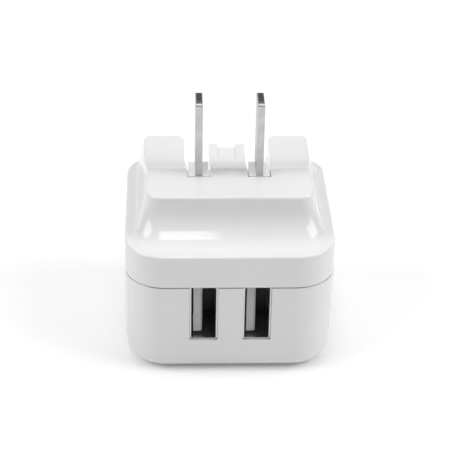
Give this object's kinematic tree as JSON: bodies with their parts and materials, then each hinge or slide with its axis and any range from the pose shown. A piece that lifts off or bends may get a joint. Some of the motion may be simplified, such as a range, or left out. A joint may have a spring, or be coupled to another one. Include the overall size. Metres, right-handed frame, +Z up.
{
  "type": "usb wall charger",
  "caption": "Cube-shaped USB wall charger with upright USB-A ports on the front, a raised deck and flat mains blades that fold back into an open recess.",
  "frame": {"origin": "centre of the flat bottom of the case, halfway between the USB face and the far face", "axes": "+Z up, the way the swung-out blades point; +X across the USB face; -Y out of the USB face"},
  "size_m": [0.0434, 0.0434, 0.0536],
  "materials": {
    "case_white": "gloss",
    "shell_steel": "bright plated",
    "tongue_grey": "matte",
    "contact_gold": "gold plated",
    "board_green": "solder mask",
    "sheet_clear": "satin",
    "screw_steel": "bright",
    "retainer_black": "matte",
    "leaf_brass": "bright",
    "ferrite": "matte",
    "bobbin_black": "matte",
    "tape_yellow": "satin",
    "sleeve_black": "satin",
    "chip_black": "matte",
    "disc_blue": "gloss",
    "resistor_green": "satin",
    "winding_copper": "enamelled copper",
    "ceramic_tan": "matte",
    "blade_nickel": "nickel plated, satin"
  },
  "bodies": {
    "housing": {"lower_case": "case_white", "upper_case": "case_white", "usb_shell_left": "shell_steel", "usb_shell_right": "shell_steel", "usb_tongue_left": "tongue_grey", "usb_tongue_right": "tongue_grey", "usb_contacts_left": "contact_gold", "usb_contacts_right": "contact_gold", "main_board": "board_green", "insulation_sheet": "sheet_clear", "board_screws": "screw_steel", "contact_retainer": "retainer_black", "retainer_screws": "screw_steel", "line_contact_left": "leaf_brass", "line_contact_right": "leaf_brass", "transformer_core": "ferrite", "transformer_bobbin": "bobbin_black", "transformer_winding": "tape_yellow", "input_capacitors": "sleeve_black", "output_capacitors": "sleeve_black", "bridge_rectifier": "chip_black", "controller_chip": "chip_black", "optocoupler": "chip_black", "output_rectifier": "chip_black", "y_capacitor": "disc_blue", "fusible_resistor": "resistor_green", "choke_core": "ferrite", "choke_winding": "winding_copper", "chip_resistors": "chip_black", "chip_capacitors": "ceramic_tan"},
    "blade_carrier": {"blade_left": "blade_nickel", "blade_right": "blade_nickel", "barrel_left": "case_white", "barrel_right": "case_white", "pivot_pin": "screw_steel"}
  },
  "joints": [
    {"name": "blade_fold", "type": "hinge", "parent": "housing", "child": "blade_carrier", "pos_m": [0, 0, 0.0336], "axis": [-1, 0, 0], "range_deg": [0, 90]}
  ]
}
